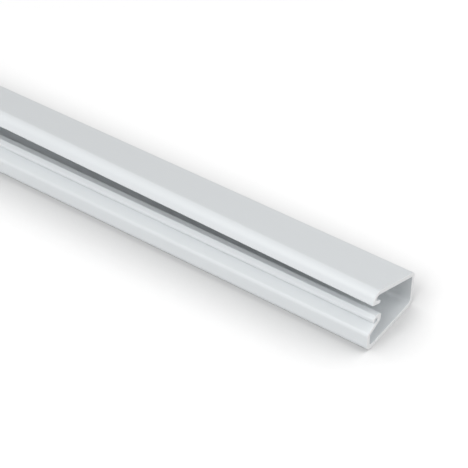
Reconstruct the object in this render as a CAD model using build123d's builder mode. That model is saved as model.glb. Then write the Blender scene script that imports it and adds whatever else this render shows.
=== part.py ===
"""Cord cover raceway: a length of one-piece latching channel stock, with its cover sprung open.

The stock is extruded in one go, so it is one solid. Its run lies along X, it rests on its flat base,
the latch side faces -Y and the corner that the cover bends about is on the +Y side.
The cover is drawn in a little towards the +X end and stands wider open along the rest of the run.
"""
from math import cos, radians, sin, tan
import os

from build123d import *

os.makedirs("parts", exist_ok=True)

# The length of stock and its closed outside size, in millimetres.
stock_length = 400.0
stock_width = 22.2
closed_height = 11.4
wall = 1.25

# Rounding of the two lower corners, outside and inside.
base_corner_outside = 2.1
base_corner_inside = 1.4

# Latch wall: upright at first, then leaning in over the channel, then folded back out as a lip.
# The lip is ridged like a roof: it rises from its inner shoulder to a crest and falls to its tip.
upright_height = 5.1
lean_angle = 22.7
lip_reach = 5.95
lip_stem = 1.6
lip_shoulder_height = 9.25
lip_crest_width = 2.4
lip_crest_height = 10.0
lip_width = 3.65
lip_tip_height = 9.45
lip_tip_face = 1.2
lip_thickness = 0.95
lip_shoulder_rounding = 0.6
lip_crest_rounding = 0.5

# Cover: its reach from the hinge corner, the drop of its turned-down edge and the hook on that edge.
cover_reach = 19.95
cover_drop = 2.85
cover_corner_outside = 2.4
hook_length = 3.85
hook_droop = 0.2
hook_tip = 0.9
hook_root = 1.4

# How far the cover stands open at the drawn-in end and along the rest, and how long that end stretch is.
end_open_angle = 20.9
rest_open_angle = 26.0
drawn_in_length = 140.0

# Small roundings left by the die.
hinge_rounding = 1.9
edge_rounding = 0.28
groove_rounding = 0.22

# Places along the run.
near_end = stock_length / 2
rest_start = near_end - drawn_in_length
far_end = -stock_length / 2

# Inside faces of the channel and the latch groove, measured from the outer faces of base and latch wall.
inner_right = stock_width - wall
inner_top = closed_height - wall
groove_root = lip_reach - lip_stem
lip_crest = lip_reach - lip_crest_width
lip_tip = lip_reach - lip_width
lip_slope = (lip_crest_height - lip_shoulder_height) / lip_crest_width
lean_slope = tan(radians(lean_angle))
lean_thickness = wall / cos(radians(lean_angle))


def lean_inside(across):
    """Height of the leaning wall's inner face."""
    return upright_height + (across - wall) * lean_slope


def lean_outside(across):
    """Height of the leaning wall's outer face."""
    return lean_inside(across) + lean_thickness


def lip_underside(across):
    """Height of the lip's underside between its crest and its inner shoulder."""
    return lip_crest_height - (across - lip_crest) * lip_slope - lip_thickness


def on_cover(along, above, open_angle):
    """A point of the opened cover: so far along its underside from the hinge, so far above it."""
    angle = radians(open_angle)
    across = inner_right - along * cos(angle) + above * sin(angle)
    height = inner_top + along * sin(angle) + above * cos(angle)
    return across, height


def hinge_outside(open_angle):
    """The outer corner where the hinge wall meets the cover's top face."""
    angle = radians(open_angle)
    return on_cover(-wall * (1 - sin(angle)) / cos(angle), wall, open_angle)


def section_corners(open_angle):
    """Corners of the whole outline in order, each with its rounding."""
    hook_end = cover_reach - hook_length
    cover_inside = cover_reach - wall
    return [
        ((0, 0), base_corner_outside),
        ((stock_width, 0), base_corner_outside),
        (hinge_outside(open_angle), hinge_rounding),
        (on_cover(cover_reach, wall, open_angle), cover_corner_outside),
        (on_cover(cover_reach, hook_droop - cover_drop, open_angle), edge_rounding),
        (on_cover(hook_end, -cover_drop, open_angle), edge_rounding),
        (on_cover(hook_end, hook_tip - cover_drop, open_angle), edge_rounding),
        (on_cover(cover_inside, hook_root - cover_drop, open_angle), edge_rounding),
        (on_cover(cover_inside, 0, open_angle), cover_corner_outside - wall),
        ((inner_right, inner_top), edge_rounding),
        ((inner_right, wall), base_corner_inside),
        ((wall, wall), base_corner_inside),
        ((wall, upright_height), edge_rounding),
        ((lip_reach, lean_inside(lip_reach)), edge_rounding),
        ((lip_reach, lip_shoulder_height), lip_shoulder_rounding),
        ((lip_crest, lip_crest_height), lip_crest_rounding),
        ((lip_tip, lip_tip_height), edge_rounding),
        ((lip_tip, lip_tip_height - lip_tip_face), groove_rounding),
        ((lip_crest, lip_underside(lip_crest)), lip_crest_rounding),
        ((groove_root, lip_underside(groove_root)), groove_rounding),
        ((groove_root, lean_outside(groove_root)), groove_rounding),
        ((0, lean_outside(0)), wall),
    ]


def stock_section(place, open_angle):
    """The stock's section, square across the run at one place along it."""
    corners = section_corners(open_angle)
    points = [(across - stock_width / 2, height) for (across, height), rounding in corners]
    roundings = [rounding for point, rounding in corners]
    with BuildSketch(Plane.YZ.offset(place)) as section:
        with BuildLine():
            FilletPolyline(*points, radius=roundings, close=True)
        make_face()
    return section.sketch


with BuildPart() as raceway_channel:
    # The drawn-in stretch, where the cover turns evenly from one opening to the other.
    end_section = stock_section(near_end, end_open_angle)
    rest_section = stock_section(rest_start, rest_open_angle)
    loft(sections=[end_section, rest_section], ruled=True)
    # The rest of the run, straight to the far cut end.
    far_section = stock_section(far_end, rest_open_angle)
    extrude(far_section, amount=rest_start - far_end, dir=(1, 0, 0))

raceway_channel.part.label = "raceway_channel"
export_step(raceway_channel.part, "parts/raceway_channel.step")
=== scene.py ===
# %% [markdown]
# # A length of cord cover raceway
#
# The object is one length of white PVC channel that hides cords along a wall. It leaves the die in
# one piece: a flat base, a hinge wall, a cover that springs open, and a latch wall that leans in
# over the channel and folds back out as a lip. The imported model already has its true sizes. This
# script makes the same section much more finely, gives it the finish of extruded plastic, and
# stands it in plain soft light.

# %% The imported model
from math import ceil, cos, pi, radians, sin, tan

import bmesh
import bpy
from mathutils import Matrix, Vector


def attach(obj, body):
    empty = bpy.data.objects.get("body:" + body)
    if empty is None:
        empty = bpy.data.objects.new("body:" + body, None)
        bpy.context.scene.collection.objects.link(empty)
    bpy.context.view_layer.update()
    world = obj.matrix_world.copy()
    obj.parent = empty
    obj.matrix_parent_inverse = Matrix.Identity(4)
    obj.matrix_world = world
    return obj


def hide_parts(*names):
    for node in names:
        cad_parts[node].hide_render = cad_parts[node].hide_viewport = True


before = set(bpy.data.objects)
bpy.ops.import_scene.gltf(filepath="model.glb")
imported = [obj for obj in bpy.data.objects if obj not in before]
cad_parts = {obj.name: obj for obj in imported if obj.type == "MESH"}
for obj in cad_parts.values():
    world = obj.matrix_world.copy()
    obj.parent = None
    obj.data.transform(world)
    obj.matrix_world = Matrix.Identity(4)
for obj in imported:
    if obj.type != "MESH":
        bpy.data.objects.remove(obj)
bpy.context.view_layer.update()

# %% [markdown]
# ## The camera
#
# The run's long edges meet at one vanishing point, far up and to the left of the picture. That
# point, the level of the camera and the sizes of the cut end fix where the camera stood. It looks
# down the run from above the cut end, through a long lens. A camera could also be placed by eye and
# nudged, but a camera worked out from the edges lets every other shape be compared directly.

# %% Camera
picture_width = 468
focal_length_in_pixels = 1590
sensor_width = 36.0
camera_place = Vector((0.33675, -0.25921, 0.28099))
camera_look = Vector((-0.44097, 0.6169, -0.6519))

camera_data = bpy.data.cameras.new("camera")
camera_data.sensor_width = sensor_width
camera_data.lens = focal_length_in_pixels / picture_width * sensor_width
camera = bpy.data.objects.new("camera", camera_data)
camera.location = camera_place
camera.rotation_euler = camera_look.to_track_quat("-Z", "Y").to_euler()
bpy.context.scene.collection.objects.link(camera)
bpy.context.scene.camera = camera
print("lens:", round(camera_data.lens, 1), "mm")

# %% [markdown]
# ## The section's sizes
#
# Everything about the stock is in its section, so its sizes come first, in metres. The cover and
# its hook are given along and above the cover's own underside, measured from the inner hinge
# corner, so that one angle opens the whole cover. Near the cut end that the camera sees, the cover
# is drawn in a little, and over the first stretch of the run it turns to its full opening.

# %% Sizes of the stock
stock_length = 0.400
stock_width = 0.0222
closed_height = 0.0114
wall = 0.00125

rest_open_angle = radians(26.0)
end_open_angle = radians(20.9)
drawn_in_length = 0.140

inner_right = stock_width - wall
inner_top = closed_height - wall
print("section:", stock_width * 1000, "x", closed_height * 1000, "mm when closed")

# %% Sizes of the latch wall and its lip
upright_height = 0.0051
lean_angle = radians(22.7)
lip_reach = 0.00595
lip_stem = 0.0016
lip_shoulder_height = 0.00925
lip_crest_width = 0.0024
lip_crest_height = 0.0100
lip_width = 0.00365
lip_tip_height = 0.00945
lip_tip_face = 0.0012
lip_thickness = 0.00095

lean_slope = tan(lean_angle)
lean_thickness = wall / cos(lean_angle)
groove_root = lip_reach - lip_stem
lip_crest = lip_reach - lip_crest_width
lip_tip = lip_reach - lip_width
lip_slope = (lip_crest_height - lip_shoulder_height) / lip_crest_width
print("lip:", lip_width * 1000, "mm wide, on a wall that leans in by", lip_reach * 1000, "mm")

# %% Sizes of the cover and its hook
cover_reach = 0.01995
cover_drop = 0.00285
hook_length = 0.00385
hook_droop = 0.0002
hook_tip = 0.0009
hook_root = 0.0014
print("cover:", cover_reach * 1000, "mm to its edge, hook:", hook_length * 1000, "mm long")

# %% [markdown]
# ## The corners of the section
#
# The section is a polygon of twenty-two corners, and each corner has its own rounding, as a die
# maker would draw it. The list goes once round the outline: base, hinge wall, cover, hook, back
# along the inside, up the latch wall and round the lip and its groove.

# %% Roundings of the corners
base_corner_outside = 0.0021
base_corner_inside = 0.0014
hinge_rounding = 0.0019
cover_corner_outside = 0.0024
lip_shoulder_rounding = 0.0006
lip_crest_rounding = 0.0005
edge_rounding = 0.00028
groove_rounding = 0.00022
print("roundings:", groove_rounding * 1000, "to", cover_corner_outside * 1000, "mm")


# %% Points of the leaning wall, the lip and the cover
def lean_inside(across):
    """Height of the leaning wall's inner face."""
    return upright_height + (across - wall) * lean_slope


def lean_outside(across):
    """Height of the leaning wall's outer face."""
    return lean_inside(across) + lean_thickness


def lip_underside(across):
    """Height of the lip's underside between its crest and its inner shoulder."""
    return lip_crest_height - (across - lip_crest) * lip_slope - lip_thickness


def on_cover(along, above, angle):
    """A point of the opened cover: so far along its underside from the hinge, so far above it."""
    across = inner_right - along * cos(angle) + above * sin(angle)
    height = inner_top + along * sin(angle) + above * cos(angle)
    return across, height


print("leaning wall's outer face:", round(lean_outside(0) * 1000, 2), "to",
      round(lean_outside(groove_root) * 1000, 2), "mm high")


# %% Corners of the section
def section_corners(angle):
    """Corners of the whole outline in order, each with its rounding."""
    hinge_along = -wall * (1 - sin(angle)) / cos(angle)
    hook_end = cover_reach - hook_length
    cover_inside = cover_reach - wall
    return [
        ((0, 0), base_corner_outside),
        ((stock_width, 0), base_corner_outside),
        (on_cover(hinge_along, wall, angle), hinge_rounding),
        (on_cover(cover_reach, wall, angle), cover_corner_outside),
        (on_cover(cover_reach, hook_droop - cover_drop, angle), edge_rounding),
        (on_cover(hook_end, -cover_drop, angle), edge_rounding),
        (on_cover(hook_end, hook_tip - cover_drop, angle), edge_rounding),
        (on_cover(cover_inside, hook_root - cover_drop, angle), edge_rounding),
        (on_cover(cover_inside, 0, angle), cover_corner_outside - wall),
        ((inner_right, inner_top), edge_rounding),
        ((inner_right, wall), base_corner_inside),
        ((wall, wall), base_corner_inside),
        ((wall, upright_height), edge_rounding),
        ((lip_reach, lean_inside(lip_reach)), edge_rounding),
        ((lip_reach, lip_shoulder_height), lip_shoulder_rounding),
        ((lip_crest, lip_crest_height), lip_crest_rounding),
        ((lip_tip, lip_tip_height), edge_rounding),
        ((lip_tip, lip_tip_height - lip_tip_face), groove_rounding),
        ((lip_crest, lip_underside(lip_crest)), lip_crest_rounding),
        ((groove_root, lip_underside(groove_root)), groove_rounding),
        ((groove_root, lean_outside(groove_root)), groove_rounding),
        ((0, lean_outside(0)), wall),
    ]


print("corners in the section:", len(section_corners(rest_open_angle)))

# %% [markdown]
# ## Rounding the corners
#
# Each corner becomes an arc that touches both of its sides. A Bevel modifier on the swept mesh
# could round them too, but every corner has a radius of its own here, and the roundings carry the
# highlights, so they are worked out exactly and finely. A number is kept with each point: 0 where
# an arc meets a flat, rising to 1 in the middle of the arc. The finish uses it later.

# %% Round one corner
arc_step = radians(7)
fewest_arc_steps = 4


def rounded_corner(before, corner, after, radius, steps):
    """Points of the arc that rounds a corner, with how far into the arc each one lies."""
    to_before = (before - corner).normalized()
    to_after = (after - corner).normalized()
    half = to_before.angle(to_after) / 2
    centre = corner + (to_before + to_after).normalized() * (radius / sin(half))
    first = corner + to_before * (radius / tan(half)) - centre
    last = corner + to_after * (radius / tan(half)) - centre
    whole_turn = pi - 2 * half
    points = []
    for step in range(steps + 1):
        share = step / steps
        turn = whole_turn * share
        arm = first * (sin(whole_turn - turn) / sin(whole_turn))
        arm += last * (sin(turn) / sin(whole_turn))
        points.append((centre + arm, sin(pi * share)))
    return points


def arc_steps(before, corner, after):
    """How many straight pieces an arc takes, so that each turns by about one arc step."""
    turn = pi - (before - corner).angle(after - corner)
    return max(fewest_arc_steps, ceil(turn / arc_step))


square_corner = (Vector((0, 1)), Vector((0, 0)), Vector((1, 0)))
print("a square corner is rounded in", arc_steps(*square_corner), "steps")

# %% [markdown]
# ## The outline at two openings
#
# The outline is worked out twice, once with the cover fully open and once drawn in, with the same
# number of points each time. The sweep can then blend from one to the other point by point, which
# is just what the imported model's faces do between its two sections.

# %% Outline of the section
def outline(angle):
    """The rounded outline, across and up from the middle of the base, at one opening."""
    corners = [Vector(corner) for corner, rounding in section_corners(angle)]
    steady = [Vector(corner) for corner, rounding in section_corners(rest_open_angle)]
    roundings = [rounding for corner, rounding in section_corners(angle)]
    count = len(corners)
    points = []
    for i, radius in enumerate(roundings):
        before = (i - 1) % count
        after = (i + 1) % count
        steps = arc_steps(steady[before], steady[i], steady[after])
        points += rounded_corner(corners[before], corners[i], corners[after], radius, steps)
    return [(Vector((0, p.x - stock_width / 2, p.y)), bend) for p, bend in points]


open_outline = outline(rest_open_angle)
drawn_in_outline = outline(end_open_angle)
print("points in the outline:", len(open_outline), len(drawn_in_outline))

# %% [markdown]
# ## The outline as a mesh
#
# A loop of edges carries the outline into Geometry Nodes. Both shapes ride on it as point
# attributes, and so does the bend number.

# %% Mesh of the outline
outline_mesh = bpy.data.meshes.new("section_outline")
loop_edges = [(i, (i + 1) % len(open_outline)) for i in range(len(open_outline))]
outline_mesh.from_pydata([point for point, bend in open_outline], loop_edges, [])

for name, shape in (("open_shape", open_outline), ("drawn_in_shape", drawn_in_outline)):
    attribute = outline_mesh.attributes.new(name, "FLOAT_VECTOR", "POINT")
    for item, (point, bend) in zip(attribute.data, shape):
        item.vector = point

bend_attribute = outline_mesh.attributes.new("bend", "FLOAT", "POINT")
for item, (point, bend) in zip(bend_attribute.data, open_outline):
    item.value = bend

raceway = bpy.data.objects.new("raceway_stock", outline_mesh)
bpy.context.scene.collection.objects.link(raceway)
print("outline edges:", len(outline_mesh.edges))

# %% [markdown]
# ## Helpers for node trees
#
# Node trees could be drawn by hand in the editor. They are built in code here, so one short helper
# adds a node, sets its options, and fills each input with a value or with a link from another
# node.

# %% Node helpers
def add_node(tree, kind, options=None, inputs=None):
    """Adds a node. Inputs are named by identifier, and each is a value or another node's output."""
    made = tree.nodes.new(kind)
    for option, value in (options or {}).items():
        setattr(made, option, value)
    for identifier, value in (inputs or {}).items():
        socket = next(s for s in made.inputs if s.identifier == identifier)
        if isinstance(value, bpy.types.NodeSocket):
            tree.links.new(value, socket)
        else:
            socket.default_value = value
    return made


def output_of(node, identifier):
    """An output by its identifier, for nodes that hold several outputs of one name."""
    return next(s for s in node.outputs if s.identifier == identifier)


def math_node(tree, operation, first, second=0.0):
    """Output of a math node on two numbers."""
    made = add_node(tree, "ShaderNodeMath", {"operation": operation},
                    {"Value": first, "Value_001": second})
    return made.outputs["Value"]


def add_socket(tree, name, kind, in_out="INPUT", value=None):
    """Adds a named input or output to a node group."""
    socket = tree.interface.new_socket(name, in_out=in_out, socket_type=kind)
    if value is not None:
        socket.default_value = value
    return socket


print("node helpers:", [made.__name__ for made in (add_node, output_of, math_node, add_socket)])

# %% [markdown]
# ## Die lines
#
# Extruded plastic keeps the mark of its die: very fine lines that run the whole length, with no
# pattern across them. Lines could be painted as an image, but noise that is stretched along the
# run gives just that at any length. It is a node group whose inputs say how close the lines lie.

# %% Shader group: die lines
def make_die_lines():
    """Fine lines along the run, from 0 to 1."""
    tree = bpy.data.node_groups.new("die_lines", "ShaderNodeTree")
    add_socket(tree, "Lines per metre across", "NodeSocketFloat", value=1500.0)
    add_socket(tree, "Changes per metre along", "NodeSocketFloat", value=3.0)
    add_socket(tree, "Line", "NodeSocketFloat", in_out="OUTPUT")
    given = tree.nodes.new("NodeGroupInput").outputs
    scale = add_node(tree, "ShaderNodeCombineXYZ", inputs={
        "X": given["Changes per metre along"],
        "Y": given["Lines per metre across"],
        "Z": given["Lines per metre across"],
    })
    stretched = add_node(tree, "ShaderNodeVectorMath", {"operation": "MULTIPLY"}, {
        "Vector": add_node(tree, "ShaderNodeTexCoord").outputs["Object"],
        "Vector_001": scale.outputs["Vector"],
    })
    noise = add_node(tree, "ShaderNodeTexNoise", inputs={
        "Vector": stretched.outputs["Vector"], "Scale": 1.0, "Detail": 2.0, "Roughness": 0.6,
    })
    group_output = tree.nodes.new("NodeGroupOutput")
    tree.links.new(noise.outputs["Fac"], group_output.inputs["Line"])
    return tree


die_lines = make_die_lines()
print("die lines group:", len(die_lines.nodes), "nodes")

# %% [markdown]
# ## Cloudy tone
#
# Even clean white PVC isn't one flat white. The filler in it leaves soft clouds a few centimetres
# long and a finer grain in its gloss. The skin and the sawn ends both show them, at sizes of their
# own, so this is a node group too.

# %% Shader group: cloudy tone
drawn_out_along_run = (0.35, 1.0, 1.0)


def make_cloudy_tone():
    """Soft clouds drawn out along the run and a fine grain, each from 0 to 1."""
    tree = bpy.data.node_groups.new("cloudy_tone", "ShaderNodeTree")
    add_socket(tree, "Cloud size", "NodeSocketFloat", value=0.02)
    add_socket(tree, "Grain size", "NodeSocketFloat", value=0.0006)
    add_socket(tree, "Cloud", "NodeSocketFloat", in_out="OUTPUT")
    add_socket(tree, "Grain", "NodeSocketFloat", in_out="OUTPUT")
    given = tree.nodes.new("NodeGroupInput").outputs
    coordinates = add_node(tree, "ShaderNodeTexCoord").outputs["Object"]
    drawn_out = add_node(tree, "ShaderNodeVectorMath", {"operation": "MULTIPLY"}, {
        "Vector": coordinates, "Vector_001": drawn_out_along_run,
    })
    cloud = add_node(tree, "ShaderNodeTexNoise", inputs={
        "Vector": drawn_out.outputs["Vector"],
        "Scale": math_node(tree, "DIVIDE", 1.0, given["Cloud size"]),
        "Detail": 3.0,
    })
    grain = add_node(tree, "ShaderNodeTexNoise", inputs={
        "Vector": coordinates,
        "Scale": math_node(tree, "DIVIDE", 1.0, given["Grain size"]),
        "Detail": 2.0,
    })
    group_output = tree.nodes.new("NodeGroupOutput")
    tree.links.new(cloud.outputs["Fac"], group_output.inputs["Cloud"])
    tree.links.new(grain.outputs["Fac"], group_output.inputs["Grain"])
    return tree


cloudy_tone = make_cloudy_tone()
print("cloudy tone group:", len(cloudy_tone.nodes), "nodes")

# %% [markdown]
# ## Helpers for materials
#
# Both finishes are put together in the same way: groups give numbers from 0 to 1, and these are
# weighed against each other and turned into a colour, a roughness and a height.

# %% Material helpers
def new_material(name):
    """A new material, with its node tree and its shader."""
    material = bpy.data.materials.new(name)
    material.use_nodes = True
    tree = material.node_tree
    return material, tree, tree.nodes["Principled BSDF"]


def use_group(tree, group, inputs):
    """Places a node group in a material with its own values, and gives its outputs."""
    made = tree.nodes.new("ShaderNodeGroup")
    made.node_tree = group
    for name, value in inputs.items():
        made.inputs[name].default_value = value
    return made.outputs


def weighed(tree, first, first_weight, second, second_weight):
    """Sum of two numbers, each times its weight."""
    return math_node(tree, "ADD", math_node(tree, "MULTIPLY", first, first_weight),
                     math_node(tree, "MULTIPLY", second, second_weight))


def ranged(tree, value, low, high):
    """Turns 0 to 1 into a range."""
    made = add_node(tree, "ShaderNodeMapRange", inputs={
        "Value": value, "To Min": low, "To Max": high,
    })
    return made.outputs["Result"]


def blended(tree, factor, first, second):
    """Colour between two colours."""
    made = add_node(tree, "ShaderNodeMix", {"data_type": "RGBA"}, {
        "Factor_Float": factor, "A_Color": (*first, 1.0), "B_Color": (*second, 1.0),
    })
    return output_of(made, "Result_Color")


def give_relief(tree, shader, height):
    """Lets a height in metres stand up from the surface."""
    bump = add_node(tree, "ShaderNodeBump", inputs={"Height": height, "Distance": 1.0})
    tree.links.new(bump.outputs["Normal"], shader.inputs["Normal"])


print("material helpers:",
      [made.__name__ for made in (new_material, use_group, weighed, ranged, blended, give_relief)])

# %% [markdown]
# ## The extruded skin
#
# The skin is satin white with a trace of blue. Its tone follows the clouds and the die lines by a
# few percent, the roundings are a little smoother because the die presses them harder, and the
# lines and the grain stand up by a few thousandths of a millimetre as bump.

# %% Values of the extruded skin
pvc_ior = 1.53
skin_shade = (0.729, 0.757, 0.773)
skin_light = (0.766, 0.793, 0.809)
skin_lines_per_metre = 1400.0
skin_cloud_size = 0.018
skin_grain_size = 0.0007
skin_cloud_weight = 0.6
skin_line_weight = 0.4
skin_least_rough = 0.40
skin_most_rough = 0.52
bend_polish = 0.06
skin_line_height = 0.000006
skin_grain_height = 0.000003
print("skin roughness:", skin_least_rough - bend_polish, "to", skin_most_rough)


# %% Material: extruded skin
def make_skin():
    """White PVC as it leaves the die."""
    material, tree, shader = new_material("white_pvc_skin")
    shader.inputs["IOR"].default_value = pvc_ior
    lines = use_group(tree, die_lines, {"Lines per metre across": skin_lines_per_metre})
    tone = use_group(tree, cloudy_tone, {
        "Cloud size": skin_cloud_size, "Grain size": skin_grain_size,
    })
    mixed = weighed(tree, tone["Cloud"], skin_cloud_weight, lines["Line"], skin_line_weight)
    tree.links.new(blended(tree, mixed, skin_shade, skin_light), shader.inputs["Base Color"])

    bend = add_node(tree, "ShaderNodeAttribute", {"attribute_name": "bend"}).outputs["Fac"]
    rough = ranged(tree, mixed, skin_least_rough, skin_most_rough)
    smoothed = math_node(tree, "SUBTRACT", rough, math_node(tree, "MULTIPLY", bend, bend_polish))
    tree.links.new(smoothed, shader.inputs["Roughness"])

    give_relief(tree, shader, weighed(tree, lines["Line"], skin_line_height,
                                      tone["Grain"], skin_grain_height))
    return material


skin = make_skin()
print("skin:", len(skin.node_tree.nodes), "nodes")

# %% [markdown]
# ## The sawn ends
#
# A fine saw cuts the stock square. The cut face is whiter and duller than the skin, with fine
# marks that follow the blade across it. Its whiteness is partly that of sawn plastic and partly
# painted light, which stands in for the light that falls on the cut end. The marks are noise again,
# packed close along the blade's way through the stock and drawn out across it.

# %% Values of the sawn ends
# Both cut colours are lighter than sawn PVC alone: part of that is painted light for the light that
# falls on the cut end.
cut_tone_low_with_painted_light = (0.860, 0.868, 0.875)
cut_tone_high_with_painted_light = (0.900, 0.908, 0.915)
cut_cloud_size = 0.004
cut_grain_size = 0.0003
cut_cloud_weight = 0.5
cut_mark_weight = 0.5
cut_least_rough = 0.5
cut_most_rough = 0.7
blade_slant = radians(24)
marks_per_metre = (1.0, 120.0, 2600.0)
saw_mark_height = 0.00002
print("saw marks:", saw_mark_height * 1000, "mm deep")


# %% Material: sawn end
def make_cut_face():
    """White PVC where the saw cut it, lightened partly by painted light on the cut end."""
    material, tree, shader = new_material("white_pvc_sawn_with_painted_light")
    shader.inputs["IOR"].default_value = pvc_ior
    tone = use_group(tree, cloudy_tone, {
        "Cloud size": cut_cloud_size, "Grain size": cut_grain_size,
    })
    blade = add_node(tree, "ShaderNodeMapping", inputs={
        "Vector": add_node(tree, "ShaderNodeTexCoord").outputs["Object"],
        "Rotation": (blade_slant, 0, 0),
        "Scale": marks_per_metre,
    })
    marks = add_node(tree, "ShaderNodeTexNoise", inputs={
        "Vector": blade.outputs["Vector"], "Scale": 1.0, "Detail": 2.0,
    }).outputs["Fac"]
    mixed = weighed(tree, tone["Cloud"], cut_cloud_weight, marks, cut_mark_weight)
    tree.links.new(blended(tree, mixed, cut_tone_low_with_painted_light, cut_tone_high_with_painted_light), shader.inputs["Base Color"])
    tree.links.new(ranged(tree, marks, cut_least_rough, cut_most_rough),
                   shader.inputs["Roughness"])
    give_relief(tree, shader, weighed(tree, marks, saw_mark_height,
                                      tone["Grain"], skin_grain_height))
    return material


cut_face = make_cut_face()
print("sawn end:", len(cut_face.node_tree.nodes), "nodes")

# %% [markdown]
# ## Sweeping the section
#
# The stock is the purest case of a shape that follows a rule: one section, carried along a
# straight line. Curve to Mesh does the carrying. The line is cut into short stations first, and
# each station keeps its place along the run, because the next step needs it.

# %% Geometry nodes: inputs
station_spacing = 0.005
edge_break = 0.00006

sweep = bpy.data.node_groups.new("sweep_the_section", "GeometryNodeTree")
add_socket(sweep, "Outline", "NodeSocketGeometry")
add_socket(sweep, "Stock length", "NodeSocketFloat", value=stock_length)
add_socket(sweep, "Drawn-in length", "NodeSocketFloat", value=drawn_in_length)
add_socket(sweep, "Station spacing", "NodeSocketFloat", value=station_spacing)
add_socket(sweep, "Edge break", "NodeSocketFloat", value=edge_break)
add_socket(sweep, "Skin", "NodeSocketMaterial")
add_socket(sweep, "Cut face", "NodeSocketMaterial")
add_socket(sweep, "Stock", "NodeSocketGeometry", in_out="OUTPUT")
given = sweep.nodes.new("NodeGroupInput").outputs
print("sweep inputs:", [socket.name for socket in given if socket.name])

# %% Geometry nodes: the line and its stations
near_end = math_node(sweep, "MULTIPLY", given["Stock length"], 0.5)
half_run = math_node(sweep, "SUBTRACT", near_end, given["Edge break"])
line_start = add_node(sweep, "ShaderNodeCombineXYZ", inputs={
    "X": math_node(sweep, "MULTIPLY", half_run, -1.0),
})
line_end = add_node(sweep, "ShaderNodeCombineXYZ", inputs={"X": half_run})
line = add_node(sweep, "GeometryNodeCurvePrimitiveLine", inputs={
    "Start": line_start.outputs["Vector"], "End": line_end.outputs["Vector"],
})
stations = add_node(sweep, "GeometryNodeResampleCurve", {"mode": "LENGTH"}, {
    "Curve": line.outputs["Curve"], "Length": given["Station spacing"],
})
position = add_node(sweep, "GeometryNodeInputPosition").outputs["Position"]
line_place = add_node(sweep, "ShaderNodeSeparateXYZ", inputs={"Vector": position}).outputs["X"]
marked = add_node(sweep, "GeometryNodeStoreNamedAttribute", inputs={
    "Geometry": stations.outputs["Curve"], "Name": "place", "Value": line_place,
})
print("stations:", station_spacing * 1000, "mm apart")

# %% Geometry nodes: carry the outline along the line
section = add_node(sweep, "GeometryNodeMeshToCurve", inputs={"Mesh": given["Outline"]})
swept = add_node(sweep, "GeometryNodeCurveToMesh", inputs={
    "Curve": marked.outputs["Geometry"],
    "Profile Curve": section.outputs["Curve"],
    "Fill Caps": True,
})
print("sweep tree so far:", len(sweep.nodes), "nodes")

# %% [markdown]
# ## Drawing the cover in
#
# The rule has one more term, the cover's opening, so each swept point is set once more. Its place
# along the run comes from its station, and its place in the section is a blend of the two
# outlines: all open along most of the run, and all drawn in at the near end.

# %% Geometry nodes: set every point by the rule
def read_attribute(tree, name, data_type):
    """Output of a named attribute."""
    made = add_node(tree, "GeometryNodeInputNamedAttribute", {"data_type": data_type},
                    {"Name": name})
    return made.outputs["Attribute"]


place = read_attribute(sweep, "place", "FLOAT")
drawn_in = add_node(sweep, "ShaderNodeMapRange", inputs={
    "Value": place,
    "From Min": math_node(sweep, "SUBTRACT", near_end, given["Drawn-in length"]),
    "From Max": near_end,
}).outputs["Result"]
shape = add_node(sweep, "ShaderNodeMix", {"data_type": "VECTOR"}, {
    "Factor_Float": drawn_in,
    "A_Vector": read_attribute(sweep, "open_shape", "FLOAT_VECTOR"),
    "B_Vector": read_attribute(sweep, "drawn_in_shape", "FLOAT_VECTOR"),
})
along = add_node(sweep, "ShaderNodeCombineXYZ", inputs={"X": place}).outputs["Vector"]
ruled = add_node(sweep, "GeometryNodeSetPosition", inputs={
    "Geometry": swept.outputs["Mesh"],
    "Position": add_node(sweep, "ShaderNodeVectorMath", {"operation": "ADD"}, {
        "Vector": output_of(shape, "Result_Vector"), "Vector_001": along,
    }).outputs["Vector"],
})
print("the cover turns over the last", drawn_in_length * 1000, "mm")

# %% [markdown]
# ## Breaking the sawn edges
#
# No real edge is perfectly sharp. The two cut faces are pushed out by a few hundredths of a
# millimetre while their rims are drawn in by as much, which leaves a fine break all the way round
# that catches the light. A Bevel modifier would do it too, but Extrude Mesh also says which faces
# it made, and those faces take the finish of the sawn end.

# %% Geometry nodes: break the sawn edges
faces_along_run = 0.9

face_normal = add_node(sweep, "GeometryNodeInputNormal").outputs["Normal"]
normal_along = add_node(sweep, "ShaderNodeSeparateXYZ", inputs={"Vector": face_normal})
is_end = math_node(sweep, "GREATER_THAN",
                   math_node(sweep, "ABSOLUTE", normal_along.outputs["X"]), faces_along_run)
pushed = add_node(sweep, "GeometryNodeExtrudeMesh", {"mode": "FACES"}, {
    "Mesh": ruled.outputs["Geometry"], "Selection": is_end,
    "Offset Scale": given["Edge break"], "Individual": False,
})
sideways = add_node(sweep, "ShaderNodeVectorMath", {"operation": "MULTIPLY"}, {
    "Vector": face_normal, "Vector_001": (0.0, 1.0, 1.0),
})
outward = add_node(sweep, "ShaderNodeVectorMath", {"operation": "NORMALIZE"}, {
    "Vector": sideways.outputs["Vector"],
})
inward = add_node(sweep, "ShaderNodeVectorMath", {"operation": "SCALE"}, {
    "Vector": outward.outputs["Vector"],
    "Scale": math_node(sweep, "MULTIPLY", given["Edge break"], -1.0),
})
broken = add_node(sweep, "GeometryNodeSetPosition", inputs={
    "Geometry": pushed.outputs["Mesh"], "Selection": pushed.outputs["Top"],
    "Offset": inward.outputs["Vector"],
})
print("edge break:", edge_break * 1000, "mm")

# %% [markdown]
# ## Shading and finishes
#
# The roundings are shaded smooth, and only the rim of the sawn ends stays crisp. Every face takes
# the skin, and the faces that Extrude Mesh made then take the sawn finish.

# %% Geometry nodes: shading and finishes
crisp_from = radians(30)

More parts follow.
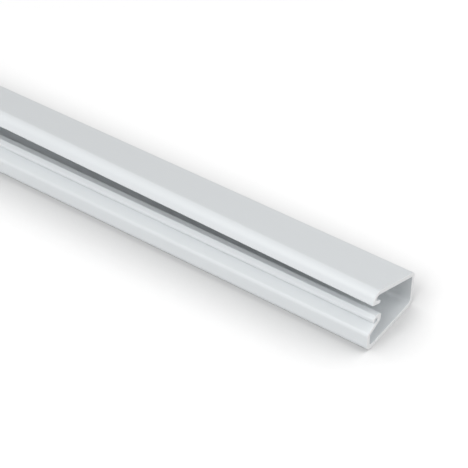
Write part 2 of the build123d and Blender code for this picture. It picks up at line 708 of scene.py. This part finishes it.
smooth = add_node(sweep, "GeometryNodeSetShadeSmooth", {"domain": "FACE"}, {
    "Geometry": broken.outputs["Geometry"], "Shade Smooth": True,
})
edge_angle = add_node(sweep, "GeometryNodeInputMeshEdgeAngle").outputs["Unsigned Angle"]
creased = add_node(sweep, "GeometryNodeSetShadeSmooth", {"domain": "EDGE"}, {
    "Geometry": smooth.outputs["Geometry"],
    "Selection": math_node(sweep, "GREATER_THAN", edge_angle, crisp_from),
    "Shade Smooth": False,
})
realized = add_node(sweep, "GeometryNodeRealizeInstances", inputs={
    "Geometry": creased.outputs["Geometry"],
})
skinned = add_node(sweep, "GeometryNodeSetMaterial", inputs={
    "Geometry": realized.outputs["Geometry"], "Material": given["Skin"],
})
is_cut = add_node(sweep, "FunctionNodeBooleanMath", {"operation": "OR"}, {
    "Boolean": pushed.outputs["Top"], "Boolean_001": pushed.outputs["Side"],
})
finished = add_node(sweep, "GeometryNodeSetMaterial", inputs={
    "Geometry": skinned.outputs["Geometry"], "Selection": is_cut.outputs["Boolean"],
    "Material": given["Cut face"],
})
sweep_output = sweep.nodes.new("NodeGroupOutput")
sweep.links.new(finished.outputs["Geometry"], sweep_output.inputs["Stock"])
print("sweep tree:", len(sweep.nodes), "nodes")

# %% [markdown]
# ## Baking the stock
#
# The modifier is given its sizes by socket identifier before the object is first evaluated.
# Weighted normals keep the wide flats truly flat in the shading and leave the turn of the light to
# the roundings. The result is then baked to a plain mesh and the modifiers go.

# %% The sweep as a modifier
sweep_inputs = {
    "Stock length": stock_length,
    "Drawn-in length": drawn_in_length,
    "Station spacing": station_spacing,
    "Edge break": edge_break,
    "Skin": skin,
    "Cut face": cut_face,
}
modifier = raceway.modifiers.new("sweep", "NODES")
modifier.node_group = sweep
for item in sweep.interface.items_tree:
    if item.in_out == "INPUT" and item.name in sweep_inputs:
        modifier[item.identifier] = sweep_inputs[item.name]
weighted_normals = raceway.modifiers.new("weighted_normals", "WEIGHTED_NORMAL")
weighted_normals.keep_sharp = True
print("modifiers:", [made.name for made in raceway.modifiers])

# %% Bake the sweep to a plain mesh
depsgraph = bpy.context.evaluated_depsgraph_get()
stock_mesh = bpy.data.meshes.new_from_object(
    raceway.evaluated_get(depsgraph), preserve_all_data_layers=True, depsgraph=depsgraph
)
raceway.modifiers.clear()
raceway.data = stock_mesh
for name in ("place", "open_shape", "drawn_in_shape"):
    stock_mesh.attributes.remove(stock_mesh.attributes[name])
print("baked:", len(stock_mesh.vertices), "points")

# %% [markdown]
# ## Checking the mesh and putting it in the model's place
#
# A closed mesh has no open edges, and its volume tells at once whether anything is missing or
# inside out: the imported model holds 34.16 cubic centimetres. The finished stock then stands in for
# the imported model's one solid.

# %% Check the baked mesh
check = bmesh.new()
check.from_mesh(stock_mesh)
open_edges = sum(not edge.is_manifold for edge in check.edges)
print("faces:", len(check.faces), "open edges:", open_edges,
      "volume:", round(check.calc_volume(signed=True) * 1e6, 2), "cubic cm")
check.free()

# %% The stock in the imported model's place
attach(raceway, "root")
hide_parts("raceway_channel")
print(raceway.name, "takes the place of raceway_channel")

# %% [markdown]
# ## The floor
#
# The stock lies on plain white paper, and the paper runs to full white a little way off. More light
# would do that too, but it would bleach the stock. So the paper keeps its own pale colour, and a
# glow, which only the camera, reflections and clear things see, lifts it to white. The glow fades
# where the stock closes the floor in, which the Ambient Occlusion node measures, and that leaves a
# soft halo of shade round the foot. Far off, where the lamps hardly reach, the glow grows again, so
# that the paper meets the white room with no edge.

# %% Values of the floor
floor_colour = (0.66, 0.66, 0.66, 1.0)
shade_reach = 0.025
shade_samples = 32
closed_in = 0.50
open_again = 0.98
glow_when_closed_in = 0.0
glow_when_open = 0.42
far_off_from = 0.12
far_off_beyond = 0.80
length_counts_half = (0.5, 1.0, 1.0)
print("floor glow:", glow_when_closed_in, "at the foot,", glow_when_open, "in the open")


# %% What the camera and reflections see
def seen_directly(tree):
    """1 for rays from the camera, in reflections and through clear things, and 0 for the rest."""
    path = add_node(tree, "ShaderNodeLightPath").outputs
    shiny = math_node(tree, "MAXIMUM", path["Is Glossy Ray"], path["Is Transmission Ray"])
    return math_node(tree, "MAXIMUM", path["Is Camera Ray"], shiny)


def glow_by_openness(tree):
    """Glow that grows from the foot of the stock to the open floor."""
    openness = add_node(tree, "ShaderNodeAmbientOcclusion", {"samples": shade_samples}, {
        "Distance": shade_reach,
    }).outputs["AO"]
    return add_node(tree, "ShaderNodeMapRange", inputs={
        "Value": openness, "From Min": closed_in, "From Max": open_again,
        "To Min": glow_when_closed_in, "To Max": glow_when_open,
    }).outputs["Result"]


def glow_far_off(tree):
    """Glow that grows with the distance from the stock, whose long way counts half."""
    squeezed = add_node(tree, "ShaderNodeVectorMath", {"operation": "MULTIPLY"}, {
        "Vector": add_node(tree, "ShaderNodeTexCoord").outputs["Object"],
        "Vector_001": length_counts_half,
    }).outputs["Vector"]
    distance = add_node(tree, "ShaderNodeVectorMath", {"operation": "LENGTH"}, {
        "Vector": squeezed,
    }).outputs["Value"]
    return add_node(tree, "ShaderNodeMapRange", inputs={
        "Value": distance, "From Min": far_off_from, "From Max": far_off_beyond,
    }).outputs["Result"]


print("full glow beyond", far_off_beyond, "m")


# %% Floor material
def make_floor_material():
    """Matt white paper."""
    material, tree, shader = new_material("white_paper")
    shader.inputs["Base Color"].default_value = floor_colour
    shader.inputs["Roughness"].default_value = 1.0
    shader.inputs["Specular IOR Level"].default_value = 0.0
    shader.inputs["Emission Color"].default_value = (1, 1, 1, 1)
    glow = math_node(tree, "ADD", glow_by_openness(tree), glow_far_off(tree))
    tree.links.new(math_node(tree, "MULTIPLY", seen_directly(tree), glow),
                   shader.inputs["Emission Strength"])
    return material


floor_material = make_floor_material()
print("floor material:", len(floor_material.node_tree.nodes), "nodes")

# %% Floor
floor_size = 3.0
floor_drop = 0.00005
half_floor = floor_size / 2
floor_corners = [(x, y, -floor_drop) for x, y in
                 ((-half_floor, -half_floor), (half_floor, -half_floor),
                  (half_floor, half_floor), (-half_floor, half_floor))]
floor_mesh = bpy.data.meshes.new("floor")
floor_mesh.from_pydata(floor_corners, [], [(0, 1, 2, 3)])
floor_mesh.materials.append(floor_material)
floor = bpy.data.objects.new("floor", floor_mesh)
bpy.context.scene.collection.objects.link(floor)
print("floor:", floor_size, "m wide")

# %% [markdown]
# ## The surroundings
#
# A white room shines softly from all round, so that no side of the stock is ever black. Looked at
# directly or in a reflection, the room is plain white, like the floor.

# %% Surroundings
room_level = 0.30
room_as_seen = 1.0

world = bpy.data.worlds.new("white_room")
world.use_nodes = True
bpy.context.scene.world = world
world_tree = world.node_tree
room = world_tree.nodes["Background"]
room.inputs["Color"].default_value = (1, 1, 1, 1)
room_strength = ranged(world_tree, seen_directly(world_tree), room_level, room_as_seen)
world_tree.links.new(room_strength, room.inputs["Strength"])
print("room level:", room_level)

# %% [markdown]
# ## The lamps
#
# Three soft lamps, as in a small studio. The key lamp faces the latch side at half height, so that
# it reaches in under the cover as far as the lip, and makes the turned-down edge the brightest
# face. The back lamp lights the cover's top, which leans away from the key lamp, and a weak lamp
# fills the cut end. Each strength is worked out from how bright a white card would look.

# %% Lamps
def soft_lamp(name, place, aim, size, card_level):
    """A square lamp that would light a white card at its aim to this level."""
    data = bpy.data.lights.new(name, "AREA")
    data.shape = "SQUARE"
    data.size = size
    ray = Vector(aim) - Vector(place)
    data.energy = card_level * (pi * ray.length) ** 2
    lamp = bpy.data.objects.new(name, data)
    lamp.location = place
    lamp.rotation_euler = ray.to_track_quat("-Z", "Y").to_euler()
    bpy.context.scene.collection.objects.link(lamp)
    return lamp


bpy.context.scene.view_settings.view_transform = "Standard"
aim = (0.12, 0.0, 0.01)
lamps = [
    soft_lamp("key_latch_side", (0.12, -0.78, 0.79), aim, size=0.60, card_level=0.58),
    soft_lamp("back_hinge_side", (0.55, 0.38, 0.72), aim, size=0.75, card_level=0.35),
    soft_lamp("fill_cut_end", (1.04, -0.43, 0.42), aim, size=0.55, card_level=0.15),
]
print("lamps:", [lamp.name for lamp in lamps])
